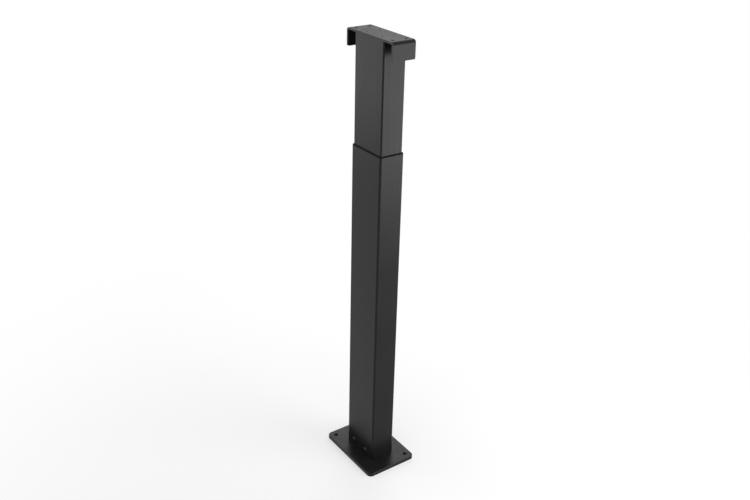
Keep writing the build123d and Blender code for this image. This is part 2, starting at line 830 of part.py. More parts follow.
# Motor socket, clipped in the inner tube's wall, with six contacts
with BuildPart() as motor_socket:
    rim_width = socket_width + 2 * socket_rim
    rim_height = socket_height + 2 * socket_rim
    with BuildSketch(socket_place):
        RectangleRounded(rim_width, rim_height, socket_corner)
    extrude(amount=socket_rim_thickness)
    with BuildSketch(socket_place):
        body_width = socket_width - 2 * screw_fit
        body_height = socket_height - 2 * screw_fit
        RectangleRounded(body_width, body_height, socket_corner)
    extrude(amount=-socket_depth)
    with BuildSketch(socket_place.offset(socket_rim_thickness)):
        mouth_width = socket_width - 2 * socket_wall
        mouth_height = socket_height - 2 * socket_wall
        Rectangle(mouth_width, mouth_height)
    extrude(amount=-socket_cavity, mode=Mode.SUBTRACT)
keep(motor_socket, "motor_socket")

with BuildPart() as socket_contacts:
    with BuildSketch(socket_place.offset(socket_rim_thickness - socket_cavity)):
        with GridLocations(contact_pitch, contact_pitch, 3, 2):
            Circle(contact_radius)
    extrude(amount=contact_length)
keep(socket_contacts, "socket_contacts")
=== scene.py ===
import bpy
from math import pi, radians
from mathutils import Matrix, Vector


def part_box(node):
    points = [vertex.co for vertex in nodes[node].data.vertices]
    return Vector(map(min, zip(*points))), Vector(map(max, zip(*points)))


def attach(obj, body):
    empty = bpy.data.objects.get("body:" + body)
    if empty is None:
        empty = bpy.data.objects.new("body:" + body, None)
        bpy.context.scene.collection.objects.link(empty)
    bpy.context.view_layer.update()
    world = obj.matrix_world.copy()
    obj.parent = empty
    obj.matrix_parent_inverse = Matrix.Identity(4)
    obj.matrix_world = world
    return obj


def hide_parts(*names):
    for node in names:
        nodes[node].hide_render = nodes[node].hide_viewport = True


# A two-stage lifting column in black powder coat, drawn part of the way up.
# It is dressed here from the floor plate up to the bracket at its head, then from the
# motor down to the spindle and nut inside. All sizes are in metres.
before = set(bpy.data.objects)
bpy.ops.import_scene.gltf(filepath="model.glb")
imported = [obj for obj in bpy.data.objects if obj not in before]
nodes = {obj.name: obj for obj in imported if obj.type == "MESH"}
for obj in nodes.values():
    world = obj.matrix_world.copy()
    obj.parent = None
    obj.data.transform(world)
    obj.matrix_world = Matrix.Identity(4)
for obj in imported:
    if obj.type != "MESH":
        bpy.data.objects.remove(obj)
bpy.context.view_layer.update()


# Base plate, a flat-cut steel plate with rounded corners that is bolted to the floor.
# It has the same baked powder coat as the tubes: near black, satin, with a fine orange
# peel, faint clouds where the coat lies thicker, and a little dust in the low spots.
def new_finish(finish_name):
    """A new finish, with its shader and a place to hang textures on."""
    finish = bpy.data.materials.new(finish_name)
    finish.use_nodes = True
    tree = finish.node_tree
    shader = tree.nodes["Principled BSDF"]
    place = tree.nodes.new("ShaderNodeTexCoord")
    return finish, tree, shader, place.outputs["Object"]


def stretched(tree, place, stretch):
    """The piece's own coordinates, stretched for a grain that runs one way."""
    mapping = tree.nodes.new("ShaderNodeMapping")
    mapping.inputs["Scale"].default_value = stretch
    tree.links.new(place, mapping.inputs["Vector"])
    return mapping.outputs["Vector"]


def clouds(tree, place, scale, detail=3.0, roughness=0.55):
    """Soft noise of a given scale, per metre."""
    noise = tree.nodes.new("ShaderNodeTexNoise")
    noise.inputs["Scale"].default_value = scale
    noise.inputs["Detail"].default_value = detail
    noise.inputs["Roughness"].default_value = roughness
    tree.links.new(place, noise.inputs["Vector"])
    return noise.outputs["Fac"]


def between(tree, value, low, high, start=0.3, end=0.7):
    """A value brought into a range, for roughness and masks."""
    span = tree.nodes.new("ShaderNodeMapRange")
    span.inputs["From Min"].default_value = start
    span.inputs["From Max"].default_value = end
    span.inputs["To Min"].default_value = low
    span.inputs["To Max"].default_value = high
    tree.links.new(value, span.inputs["Value"])
    return span.outputs["Result"]


def reckoned(tree, how, one, other):
    """Two values added, multiplied or compared."""
    step = tree.nodes.new("ShaderNodeMath")
    step.operation = how
    tree.links.new(one, step.inputs[0])
    tree.links.new(other, step.inputs[1])
    return step.outputs["Value"]


def two_shades(tree, mask, lower, upper):
    """Two colours mixed by a mask."""
    mix = tree.nodes.new("ShaderNodeMix")
    mix.data_type = "RGBA"
    for socket, colour in ((6, lower), (7, upper)):
        if isinstance(colour, tuple):
            mix.inputs[socket].default_value = (*colour, 1)
        else:
            tree.links.new(colour, mix.inputs[socket])
    tree.links.new(mask, mix.inputs[0])
    return mix.outputs[2]


def relief(tree, shader, height, depth, under=None):
    """Bump of a given depth in metres, on top of any bump already made."""
    bump = tree.nodes.new("ShaderNodeBump")
    bump.inputs["Strength"].default_value = 1.0
    bump.inputs["Distance"].default_value = depth
    tree.links.new(height, bump.inputs["Height"])
    if under is not None:
        tree.links.new(under, bump.inputs["Normal"])
    tree.links.new(bump.outputs["Normal"], shader.inputs["Normal"])
    return bump.outputs["Normal"]


def powder_coat(finish_name, rub_marks=False, dust=0.0):
    """Baked black powder coat, with rub marks down it where a glide runs."""
    thin_black, thick_black = (0.0056, 0.0060, 0.0058), (0.0086, 0.0091, 0.0089)
    speck_grey, dust_grey = (0.021, 0.022, 0.0215), (0.11, 0.105, 0.098)
    cloud_scale, peel_scale, speck_scale, dust_scale = 9.0, 540.0, 1500.0, 38.0
    rub_stretch = (240.0, 240.0, 1.6)
    smooth, satin, shine = 0.30, 0.38, 0.17
    peel_depth, speck_depth = 0.000055, 0.000025
    finish, tree, shader, place = new_finish(finish_name)
    cloud = clouds(tree, place, cloud_scale, 4.0)
    peel = clouds(tree, place, peel_scale, 2.0, 0.5)
    speck = clouds(tree, place, speck_scale, 1.0, 0.4)
    shade = two_shades(tree, between(tree, cloud, 0, 1), thin_black, thick_black)
    shade = two_shades(tree, between(tree, speck, 0, 0.35, 0.58, 0.75), shade, speck_grey)
    rough = between(tree, cloud, smooth, satin)
    if dust:
        settled = between(tree, clouds(tree, place, dust_scale, 6.0, 0.7), 0, dust, 0.52, 0.75)
        shade = two_shades(tree, settled, shade, dust_grey)
    if rub_marks:
        streak = clouds(tree, stretched(tree, place, rub_stretch), 1.0, 3.0, 0.6)
        rubbed = between(tree, streak, -0.055, 0.03, 0.35, 0.68)
        rough = reckoned(tree, "ADD", rough, rubbed)
    tree.links.new(shade, shader.inputs["Base Color"])
    tree.links.new(rough, shader.inputs["Roughness"])
    shader.inputs["Specular IOR Level"].default_value = shine
    orange = relief(tree, shader, peel, peel_depth)
    relief(tree, shader, speck, speck_depth, orange)
    return finish


def dress(finish, *node_names):
    """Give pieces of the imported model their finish."""
    for node_name in node_names:
        for slot in nodes[node_name].material_slots:
            slot.material = finish


dress(powder_coat("base_plate_coat", dust=0.16), "base_plate")


# Screws and bolts, cold-headed steel. Those seen on the column are blackened, and the
# ones under the base and inside it are bright zinc. Each head has a six-sided key hole.
def colour_and_gloss(tree, shader, mask, dark, light, low_rough, high_rough):
    """Colour and roughness that both follow one mask."""
    tree.links.new(two_shades(tree, between(tree, mask, 0, 1), dark, light), shader.inputs["Base Color"])
    tree.links.new(between(tree, mask, low_rough, high_rough), shader.inputs["Roughness"])


def screw_steel(finish_name, dark, light, rough, metal):
    """Plated or blackened steel, with fine turning rings worn lighter in places."""
    wear_scale, ring_scale, ring_depth = 420.0, 2600.0, 0.00001
    finish, tree, shader, place = new_finish(finish_name)
    wear = clouds(tree, place, wear_scale, 4.0, 0.65)
    colour_and_gloss(tree, shader, wear, dark, light, rough, rough + 0.14)
    shader.inputs["Metallic"].default_value = metal
    relief(tree, shader, clouds(tree, place, ring_scale, 2.0), ring_depth)
    return finish


zinc = screw_steel("zinc_plating", (0.42, 0.43, 0.42), (0.66, 0.67, 0.68), 0.24, 1.0)
black_oxide = screw_steel("black_oxide", (0.018, 0.018, 0.02), (0.05, 0.05, 0.052), 0.34, 0.6)
dress(zinc, "base_screws", "tie_bolts", "gearbox_screws", "retainer_screws", "motor_screws", "guide_screw")
dress(black_oxide, "push_tube_set_screws")


def take_up(piece):
    """Select one piece alone, and work on it."""
    bpy.ops.object.select_all(action="DESELECT")
    piece.select_set(True)
    bpy.context.view_layer.objects.active = piece


def pick(piece, kind, wanted):
    """Go into edit mode with the edges or faces whose middle passes a test."""
    take_up(piece)
    bpy.ops.object.mode_set(mode="EDIT")
    bpy.ops.mesh.select_mode(type=kind)
    bpy.ops.mesh.select_all(action="DESELECT")
    bpy.ops.object.mode_set(mode="OBJECT")
    mesh = piece.data
    if kind == "EDGE":
        for edge in mesh.edges:
            ends = [mesh.vertices[n].co for n in edge.vertices]
            edge.select = wanted((ends[0] + ends[1]) / 2, (ends[1] - ends[0]).normalized())
    else:
        for face in mesh.polygons:
            face.select = wanted(face.center, face.normal)
    bpy.ops.object.mode_set(mode="EDIT")


def done():
    """Leave edit mode."""
    bpy.ops.object.mode_set(mode="OBJECT")


def at_height(height):
    """A test for the level edges at one height."""
    return lambda middle, run: abs(middle.z - height) < 0.00001


def facing_down(middle, normal):
    """A test for the faces that look down."""
    return normal.z < -0.9


def facing_up(middle, normal):
    """A test for the faces that look up."""
    return normal.z > 0.9


def round_off(piece, wanted, offset, segments):
    """Round the edges that pass a test."""
    pick(piece, "EDGE", wanted)
    bpy.ops.mesh.bevel(offset=offset, segments=segments, affect="EDGES", clamp_overlap=False)
    done()


def draw_out(piece, wanted, thickness, step):
    """Inset the faces that pass a test, and push them along."""
    pick(piece, "FACE", wanted)
    if thickness:
        bpy.ops.mesh.inset(thickness=thickness)
    bpy.ops.mesh.extrude_region_move(TRANSFORM_OT_translate={"value": step})
    done()


def shape_by(piece, tool, how):
    """Cut a tool's shape out of a piece, or join it on, and drop the tool."""
    modifier = piece.modifiers.new(how, "BOOLEAN")
    modifier.operation = how
    modifier.solver = "EXACT"
    modifier.object = tool
    take_up(piece)
    bpy.ops.object.modifier_apply(modifier=modifier.name)
    bpy.data.objects.remove(tool)


def rod(radius, low, high, spot=(0, 0), sides=40):
    """A round or six-sided bar standing between two heights."""
    bpy.ops.object.select_all(action="DESELECT")
    bpy.ops.mesh.primitive_cylinder_add(
        vertices=sides, radius=radius, depth=high - low, location=(spot[0], spot[1], (low + high) / 2)
    )
    bpy.ops.object.transform_apply(location=True)
    return bpy.context.object


def key_hole(screw, head_top, key, depth):
    """The six-sided hole in a screw's head."""
    shape_by(screw, rod(key, head_top - depth, head_top + depth, sides=6), "DIFFERENCE")


def break_edges(piece, width=0.0002):
    """A small break on every sharp edge, then smooth shading between them."""
    modifier = piece.modifiers.new("edge_break", "BEVEL")
    modifier.width = width
    modifier.segments = 2
    modifier.limit_method = "ANGLE"
    modifier.angle_limit = radians(35)
    take_up(piece)
    bpy.ops.object.modifier_apply(modifier=modifier.name)
    bpy.ops.object.shade_smooth_by_angle(angle=radians(40))
    flatten = piece.modifiers.new("flat_faces", "WEIGHTED_NORMAL")
    flatten.keep_sharp = True
    bpy.ops.object.modifier_apply(modifier=flatten.name)


def copies(pattern, places, name):
    """Copies of a piece, each with its own mesh, joined as one, and the pattern dropped."""
    made = []
    for place in places:
        twin = pattern.copy()
        twin.data = pattern.data.copy()
        bpy.context.collection.objects.link(twin)
        twin.matrix_world = place
        made.append(twin)
    bpy.data.objects.remove(pattern)
    bpy.ops.object.select_all(action="DESELECT")
    for twin in made:
        twin.select_set(True)
    bpy.context.view_layer.objects.active = made[0]
    bpy.ops.object.transform_apply(location=True, rotation=True, scale=True)
    bpy.ops.object.join()
    joined = bpy.context.object
    joined.name = name
    return joined


def stand_for(piece, node_name, body, finish):
    """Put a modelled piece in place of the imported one."""
    piece.data.materials.clear()
    piece.data.materials.append(finish)
    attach(piece, body)
    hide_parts(node_name)


# Four M5 button-head screws through the outer tube's wall into the foot block. A domed
# head, rounded over, with the key hole sunk in it and a chamfered tip on the shank.
thread, head, head_height, shank = 0.0025, 0.0045, 0.00275, 0.012
dome, tip_chamfer, screw_edge = head_height * 0.82, thread * 0.25, 0.00015
key_radius, key_depth = thread * 0.82, head_height * 0.62
button = rod(head, 0, head_height)
round_off(button, at_height(head_height), dome, 7)
draw_out(button, facing_down, head - thread, (0, 0, -shank))
round_off(button, at_height(-shank), tip_chamfer, 1)
key_hole(button, head_height, key_radius, key_depth)
break_edges(button, screw_edge)
tube_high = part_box("outer_tube")[1]
heads_low, heads_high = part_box("outer_tube_screws")
button_places = []
for side in (1, -1):
    for along in (heads_low.y + head, heads_high.y - head):
        turn = Matrix.Rotation(side * pi / 2, 4, "Y")
        spot = (side * tube_high.x, along, (heads_low.z + heads_high.z) / 2)
        button_places.append(Matrix.Translation(spot) @ turn)
buttons = copies(button, button_places, "outer_tube_button_screws")
stand_for(buttons, "outer_tube_screws", "column_base", black_oxide)


# Foot block, bearing block and motor flange, zinc die castings. They are matt and
# slightly grainy where the die left them, with faint flow marks.
def die_casting(finish_name):
    """Raw zinc die casting."""
    dark_zinc, light_zinc = (0.36, 0.37, 0.38), (0.52, 0.53, 0.54)
    flow_stretch, grain_scale, grain_depth = (30.0, 60.0, 140.0), 1300.0, 0.00005
    finish, tree, shader, place = new_finish(finish_name)
    flow = clouds(tree, stretched(tree, place, flow_stretch), 1.0, 5.0, 0.6)
    colour_and_gloss(tree, shader, flow, dark_zinc, light_zinc, 0.42, 0.58)
    shader.inputs["Metallic"].default_value = 0.85
    relief(tree, shader, clouds(tree, place, grain_scale, 3.0, 0.6), grain_depth)
    return finish


dress(die_casting("die_casting"), "foot_block", "bearing_block", "motor_flange")


# Outer tube, welded rectangular steel tube with rounded corners, cut square at both
# ends and powder coated outside. It stands still on the foot block.
dress(powder_coat("outer_tube_coat"), "outer_tube")


# Glide collar, pads and shoe, moulded in black low-friction plastic. The collar's
# rounded lip sits on the outer tube's rim, and its skirt guides the inner tube.
def moulded_plastic(finish_name, dark, light, rough, grain_depth=0.00003, shine=0.5):
    """Moulded plastic with a spark-eroded grain and faint flow."""
    flow_scale, grain_scale = 45.0, 1900.0
    finish, tree, shader, place = new_finish(finish_name)
    flow = clouds(tree, place, flow_scale, 4.0, 0.6)
    colour_and_gloss(tree, shader, flow, dark, light, rough - 0.05, rough + 0.07)
    shader.inputs["Specular IOR Level"].default_value = shine
    relief(tree, shader, clouds(tree, place, grain_scale, 2.0, 0.5), grain_depth)
    return finish


glide_plastic = moulded_plastic("black_glide_plastic", (0.006, 0.006, 0.0065), (0.011, 0.011, 0.012), 0.56)
dress(glide_plastic, "glide_pads", "glide_shoe", "spindle_guide")


def block(size, centre, corner, segments=8):
    """A bar with rounded upright corners, at its size and place."""
    bpy.ops.object.select_all(action="DESELECT")
    bpy.ops.mesh.primitive_cube_add(size=1, location=centre, scale=size)
    bpy.ops.object.transform_apply(location=True, scale=True)
    bar = bpy.context.object
    if corner:
        round_off(bar, lambda middle, run: abs(run.z) > 0.9, corner, segments)
    return bar


collar_low, collar_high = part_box("glide_collar")
rim = tube_high.z
lip = collar_high.z - rim
skirt_width, skirt_depth, skirt_corner = 0.0518, 0.0918, 0.0024
opening_width, opening_depth, opening_corner = 0.0504, 0.0904, 0.0032
opening_height, opening_middle = 0.05, rim - 0.015
tube_corner, lip_round = 0.004, 0.0015
collar = block((tube_high.x * 2, tube_high.y * 2, lip), (0, 0, rim + lip / 2), tube_corner, 10)
round_off(collar, at_height(collar_high.z), lip_round, 5)
skirt_height = rim - collar_low.z + lip / 2
skirt = block((skirt_width, skirt_depth, skirt_height), (0, 0, collar_low.z + skirt_height / 2), skirt_corner)
shape_by(collar, skirt, "UNION")
opening_size = (opening_width, opening_depth, opening_height)
opening = block(opening_size, (0, 0, opening_middle), opening_corner, 10)
shape_by(collar, opening, "DIFFERENCE")
break_edges(collar)
collar.name = "glide_collar_moulding"
# The collar is black plastic, but its colour is darker than the same plastic on the pads and shoe: painted
# shade for the dark band along the tube's rim.
collar_plastic_painted_shade = moulded_plastic(
    "collar_plastic_painted_shade", (0.002, 0.002, 0.0022), (0.0036, 0.0036, 0.0038), 0.66, shine=0.12
)
stand_for(collar, "glide_collar", "column_base", collar_plastic_painted_shade)


# Inner tube, the same kind of tube one size smaller. It slides out of the collar, so
# its coat carries faint upright rub marks from the glides.
dress(powder_coat("inner_tube_coat", rub_marks=True), "inner_tube")


# Top plate and top bracket, flat-cut and bent steel under the same coat. The bracket's
# two lips hang down at the front and back, and the load is bolted to its four holes.
head_coat = powder_coat("bracket_coat")
dress(head_coat, "top_plate")
bracket_low, bracket_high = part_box("top_bracket")
bracket_top, reach = bracket_high.z, bracket_high.y
sheet_thickness, bend_radius, lip_corner = 0.004, 0.006, 0.003
bpy.ops.object.select_all(action="DESELECT")
bpy.ops.mesh.primitive_plane_add(size=1, location=(0, 0, bracket_top))
bracket = bpy.context.object
bracket.name = "top_bracket_folded"
bracket.scale = (bracket_high.x * 2, reach * 2, 1)
bpy.ops.object.transform_apply(location=True, scale=True)
pick(bracket, "EDGE", lambda middle, run: abs(middle.y) > reach * 0.99)
bpy.ops.mesh.extrude_edges_move(TRANSFORM_OT_translate={"value": (0, 0, bracket_low.z - bracket_top)})
done()
for vertex in bracket.data.vertices:
    vertex.select = vertex.co.z < bracket_low.z + 0.0001
bpy.ops.object.mode_set(mode="EDIT")
bpy.ops.mesh.select_mode(type="VERT")
bpy.ops.mesh.bevel(offset=lip_corner, segments=6, affect="VERTICES")
done()
round_off(
    bracket,
    lambda middle, run: middle.z > bracket_top - 0.0001 and abs(middle.y) > reach * 0.99,
    bend_radius,
    9,
)
thicken = bracket.modifiers.new("sheet", "SOLIDIFY")
thicken.thickness = sheet_thickness
thicken.offset = -1
thicken.use_even_offset = True
bpy.ops.object.modifier_apply(modifier=thicken.name)


def four_spots(across, along):
    """Four spots about the column's middle."""
    return [(x, y) for x in (-across, across) for y in (-along, along)]


def taper(piece, share):
    """Narrow the underside of a bar to a share of its width."""
    pick(piece, "FACE", facing_down)
    bpy.ops.transform.resize(value=(share, share, 1))
    done()


load_hole, load_across, load_along = 0.0033, 0.015, 0.0565
screw_hole, screw_across, screw_along = 0.00305, 0.014, 0.023
seat_radius, seat_depth, seat_taper, seat_land = 0.00545, 0.0033, 0.57, 0.0015
past, bracket_edge = 0.01, 0.0003
for spot in four_spots(load_across, load_along):
    shape_by(bracket, rod(load_hole, bracket_top - past, bracket_top + past, spot), "DIFFERENCE")
sunk_spots = four_spots(screw_across, screw_along)
for spot in sunk_spots:
    seat = rod(seat_radius, bracket_top - seat_depth, bracket_top + 0.0002, spot)
    taper(seat, seat_taper)
    shape_by(bracket, seat, "DIFFERENCE")
    shape_by(bracket, rod(screw_hole, bracket_top - past, bracket_top - seat_land, spot), "DIFFERENCE")
break_edges(bracket, bracket_edge)
stand_for(bracket, "top_bracket", "inner_column", head_coat)


# Four M6 countersunk screws that hold the bracket on the top plate, blackened, with the
# key hole in a flat head that lies flush.
sunk_thread, sunk_head, sunk_height, sunk_shank, sunk_land = 0.003, 0.0054, 0.0033, 0.011, 0.0003
sunk = rod(sunk_head, -sunk_land, 0)
draw_out(sunk, facing_down, 0, (0, 0, sunk_land - sunk_height))
taper(sunk, sunk_thread / sunk_head)
draw_out(sunk, facing_down, 0, (0, 0, sunk_height - sunk_shank))
round_off(sunk, at_height(-sunk_shank), sunk_thread * 0.25, 1)
key_hole(sunk, 0, sunk_thread * 0.8, sunk_thread * 0.9)
break_edges(sunk, screw_edge)
sunk_places = [Matrix.Translation((*spot, bracket_top)) for spot in sunk_spots]
sunk_screws = copies(sunk, sunk_places, "bracket_sunk_screws")
stand_for(sunk_screws, "bracket_screws", "inner_column", black_oxide)


# Motor socket, moulded black with a rim that rests on the tube's wall, and six plated
# pins standing in its mouth. Three keyways beside the mouth let a plug in one way round.
socket_low, socket_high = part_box("motor_socket")
tube_face, socket_face = 0.025, socket_high.x
socket_y = (socket_low.y + socket_high.y) / 2
socket_z = (socket_low.z + socket_high.z) / 2


def bar_through(start, end, width, height, aside=0, above=0):
    """A bar that runs through the tube's wall, placed from the socket's middle."""
    return block((end - start, width, height), ((start + end) / 2, socket_y + aside, socket_z + above), 0)


def long_edges(middle, run):
    """A test for the edges that run through the wall."""
    return abs(run.x) > 0.9


rim_size, shell_size, mouth_size = (0.024, 0.018), (0.0199, 0.0139), (0.0152, 0.0092)
socket_corner, face_round, socket_edge = 0.0015, 0.0005, 0.00018
mouth_floor, key_floor = socket_face - 0.009, socket_face - 0.00895
socket = bar_through(tube_face, socket_face, *rim_size)
round_off(socket, long_edges, socket_corner, 5)
round_off(socket, lambda middle, run: middle.x > socket_face - 0.00005, face_round, 3)
shell = bar_through(socket_low.x, tube_face + 0.0005, *shell_size)
round_off(shell, long_edges, socket_corner, 4)
shape_by(socket, shell, "UNION")
shape_by(socket, bar_through(mouth_floor, socket_face + 0.001, *mouth_size), "DIFFERENCE")
top_key, foot_key, foot_key_aside, key_above = (0.005, 0.0016), (0.0014, 0.0014), 0.0045, 0.0046
for key_size, aside, above in (
    (top_key, 0, key_above),
    (foot_key, -foot_key_aside, -key_above),
    (foot_key, foot_key_aside, -key_above),
):
    keyway = bar_through(key_floor, socket_face + 0.00055, *key_size, aside, above)
    shape_by(socket, keyway, "DIFFERENCE")
break_edges(socket, socket_edge)
socket.name = "motor_socket_moulding"
socket_plastic = moulded_plastic(
    "socket_plastic", (0.006, 0.006, 0.0065), (0.011, 0.011, 0.0115), 0.46, 0.00005, 0.16
)
stand_for(socket, "motor_socket", "inner_column", socket_plastic)
pin_radius, pin_length, pin_gap_y, pin_gap_z = 0.0006, 0.003, 0.004, 0.002
pin = rod(pin_radius, 0, pin_length, sides=20)
round_off(pin, at_height(pin_length), pin_radius / 2, 3)
bpy.ops.object.shade_smooth_by_angle(angle=radians(40))
outwards = Matrix.Rotation(pi / 2, 4, "Y")
pin_places = [
    Matrix.Translation((mouth_floor, socket_y + aside, socket_z + above)) @ outwards
    for aside in (-pin_gap_y, 0, pin_gap_y)
    for above in (-pin_gap_z, pin_gap_z)
]
contact_plate = screw_steel("contact_plating", (0.62, 0.46, 0.2), (0.8, 0.62, 0.3), 0.2, 1.0)
stand_for(copies(pin, pin_places, "socket_pins"), "socket_contacts", "inner_column", contact_plate)


# Motor can, deep-drawn steel, zinc plated. A groove is rolled in below its mouth to hold
# the end cap, there are cooling slots near its foot, and its boss centres the gearbox.
def ring_of(count, radius, height):
    """Places spaced evenly round the column's middle."""
    return [
        Matrix.Rotation(2 * pi * n / count, 4, "Z") @ Matrix.Translation((radius, 0, height))
        for n in range(count)
    ]


can_low, can_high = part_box("motor_can")
boss_radius, boss_height = 0.008, 0.003
can_radius, can_foot, can_round = can_high.x, can_low.z + boss_height, 0.002
groove_foot, groove_top, groove_depth = can_high.z - 0.0085, can_high.z - 0.0065, 0.0007
can = rod(can_radius, can_foot, can_high.z, sides=72)
round_off(can, lambda middle, run: abs(run.z) < 0.1, can_round, 5)
groove = rod(can_radius + 0.001, groove_foot, groove_top, sides=72)
groove_floor = rod(can_radius - groove_depth, groove_foot - 0.0015, groove_top + 0.0015, sides=72)
shape_by(groove, groove_floor, "DIFFERENCE")
shape_by(can, groove, "DIFFERENCE")
slot_size, slot_round, slot_height = (0.004, 0.0026, 0.011), 0.00125, can_foot + 0.013
cooling_slot = block(slot_size, (0, 0, 0), 0)
round_off(cooling_slot, long_edges, slot_round, 4)
cooling_slots = copies(cooling_slot, ring_of(10, can_radius, slot_height), "cooling_slots")
shape_by(can, cooling_slots, "DIFFERENCE")
shaft_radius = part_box("motor_shaft")[1].x
shape_by(can, rod(boss_radius, can_low.z, can_foot + 0.001, sides=48), "UNION")
shape_by(can, rod(shaft_radius + 0.0001, can_low.z - 0.001, can_high.z + 0.001), "DIFFERENCE")
screw_radius, screw_aside, screw_top = 0.0016, 0.013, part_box("motor_screws")[1].z
for aside in (-screw_aside, screw_aside):
    screw_bore = rod(screw_radius, can_low.z - 0.001, screw_top + 0.0001, (aside, 0), 24)
    shape_by(can, screw_bore, "DIFFERENCE")
break_edges(can)
can.name = "motor_can_drawn"
can_plating = screw_steel("motor_can_plating", (0.46, 0.47, 0.47), (0.6, 0.61, 0.6), 0.3, 1.0)
stand_for(can, "motor_can", "inner_column", can_plating)


# Motor end cap, moulded and hollow, with ribs round it, and under it the sensor's
# circuit board and ring magnet. A rubber pad keeps its hum off the top plate.
cap_low, cap_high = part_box("motor_end_cap")
board_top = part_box("sensor_board")[1].z
cap_wall, board_ledge, cap_roof, cap_round = 0.002, 0.004, 0.002, 0.003
rib_gap_size, rib_gap_height = (0.0014, 0.002, 0.0115), cap_low.z + 0.0082
cap = rod(can_radius, cap_low.z, cap_high.z, sides=72)
round_off(cap, at_height(cap_high.z), cap_round, 6)
rib_gap = block(rib_gap_size, (0, 0, 0), 0)
rib_gaps = copies(rib_gap, ring_of(36, can_radius, rib_gap_height), "rib_gaps")
shape_by(cap, rib_gaps, "DIFFERENCE")
shape_by(cap, rod(can_radius - cap_wall, cap_low.z - 0.001, board_top, sides=72), "DIFFERENCE")
cap_hollow = rod(can_radius - board_ledge, board_top - 0.001, cap_high.z - cap_roof, sides=72)
shape_by(cap, cap_hollow, "DIFFERENCE")
break_edges(cap)
cap.name = "motor_end_cap_moulding"
cap_plastic = moulded_plastic("end_cap_plastic", (0.012, 0.012, 0.013), (0.022, 0.022, 0.023), 0.5)
stand_for(cap, "motor_end_cap", "inner_column", cap_plastic)
dress(moulded_plastic("pad_rubber", (0.012, 0.012, 0.012), (0.024, 0.024, 0.023), 0.78), "motor_pad")
dress(moulded_plastic("board_green", (0.012, 0.07, 0.03), (0.02, 0.11, 0.045), 0.4), "sensor_board")
dress(moulded_plastic("magnet_grey", (0.05, 0.05, 0.053), (0.09, 0.09, 0.093), 0.5), "sensor_magnet")


# Gears, shaft, pins and bearing: hardened and ground steel, oiled, on a sintered
# bronze bush, with the balls in a tan moulded cage.
gear_steel = screw_steel("gear_steel", (0.3, 0.3, 0.31), (0.44, 0.44, 0.45), 0.26, 1.0)
ground_steel = screw_steel("ground_steel", (0.55, 0.56, 0.58), (0.72, 0.73, 0.75), 0.12, 1.0)
cage_nylon = moulded_plastic("cage_nylon", (0.36, 0.24, 0.1), (0.46, 0.32, 0.15), 0.46)
bush_bronze = screw_steel("sintered_bronze", (0.4, 0.24, 0.1), (0.56, 0.36, 0.17), 0.44, 1.0)
dress(gear_steel, "sun_gear", "planet_gear_1", "planet_gear_2", "planet_gear_3", "ring_gear")
dress(gear_steel, "planet_carrier", "carrier_plate")
dress(ground_steel, "motor_shaft", "planet_pins", "bearing_outer_ring", "bearing_inner_ring")
dress(ground_steel, "bearing_balls", "nut_pins")
dress(zinc, "bearing_locknut", "bearing_retainer")
dress(cage_nylon, "ball_cage")
dress(bush_bronze, "carrier_bush")


# Spindle, rolled steel with a 4 mm trapezoidal thread from its foot to the bearing, and
# above it a shoulder, the bearing seat and a six-sided tenon that the carrier drives.
spindle_low, spindle_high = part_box("spindle")
spindle_foot = spindle_low.z
bearing_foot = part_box("bearing_inner_ring")[0].z
pitch, crest, root = 0.004, 0.008, 0.0058
plain_foot, foot_round, shoulder_height, tenon_radius = 0.008, 0.0008, 0.005, 0.0052
ring_seat, ring_seat_height = 0.00598, 0.0185
spindle = rod(crest, spindle_foot, spindle_foot + plain_foot)
root_top = bearing_foot - shoulder_height + 0.001
draw_out(spindle, facing_up, crest - root, (0, 0, root_top - spindle_foot - plain_foot))
round_off(spindle, at_height(spindle_foot), foot_round, 2)
shoulder = rod(crest, bearing_foot - shoulder_height, bearing_foot)
draw_out(shoulder, facing_up, crest - ring_seat, (0, 0, ring_seat_height))
shape_by(spindle, shoulder, "UNION")
tenon = rod(tenon_radius, bearing_foot + ring_seat_height - 0.0002, spindle_high.z, sides=6)
shape_by(spindle, tenon, "UNION")
ridge_width, ridge_sunk, ridge_tip = 0.0028, 0.0004, 0.48
ridge_start, ridge_room = 0.010, 0.019
ridge_spot = ((crest + root - ridge_sunk) / 2, 0, spindle_foot + ridge_start)
bpy.ops.object.select_all(action="DESELECT")
bpy.ops.mesh.primitive_plane_add(size=ridge_width, location=ridge_spot, rotation=(pi / 2, 0, 0))
ridge = bpy.context.object
ridge.scale = ((crest - root + ridge_sunk) / ridge_width, 1, 1)
bpy.ops.object.transform_apply(location=True, rotation=True, scale=True)
pick(ridge, "EDGE", lambda middle, run: middle.x > crest - 0.0001)
bpy.ops.transform.resize(value=(1, 1, ridge_tip))
done()
wind = ridge.modifiers.new("thread", "SCREW")
wind.axis = "Z"
wind.angle = 2 * pi
wind.screw_offset = pitch
wind.iterations = int((bearing_foot - spindle_foot - ridge_room) / pitch)
wind.steps = 28
wind.render_steps = 28
wind.use_merge_vertices = False
bpy.ops.object.modifier_apply(modifier=wind.name)
bpy.ops.object.mode_set(mode="EDIT")
bpy.ops.mesh.select_mode(type="VERT")
bpy.ops.mesh.select_all(action="SELECT")
bpy.ops.mesh.remove_doubles(threshold=0.00001)
bpy.ops.mesh.select_all(action="DESELECT")
bpy.ops.mesh.select_non_manifold()
bpy.ops.mesh.fill()
bpy.ops.mesh.select_all(action="SELECT")
bpy.ops.mesh.normals_make_consistent(inside=False)
done()
take_up(spindle)
ridge.select_set(True)
bpy.ops.object.join()
bpy.ops.object.shade_smooth_by_angle(angle=radians(35))
spindle.name = "threaded_spindle"
spindle_steel = screw_steel("spindle_steel", (0.34, 0.34, 0.35), (0.5, 0.5, 0.51), 0.3, 1.0)
stand_for(spindle, "spindle", "spindle_set", spindle_steel)


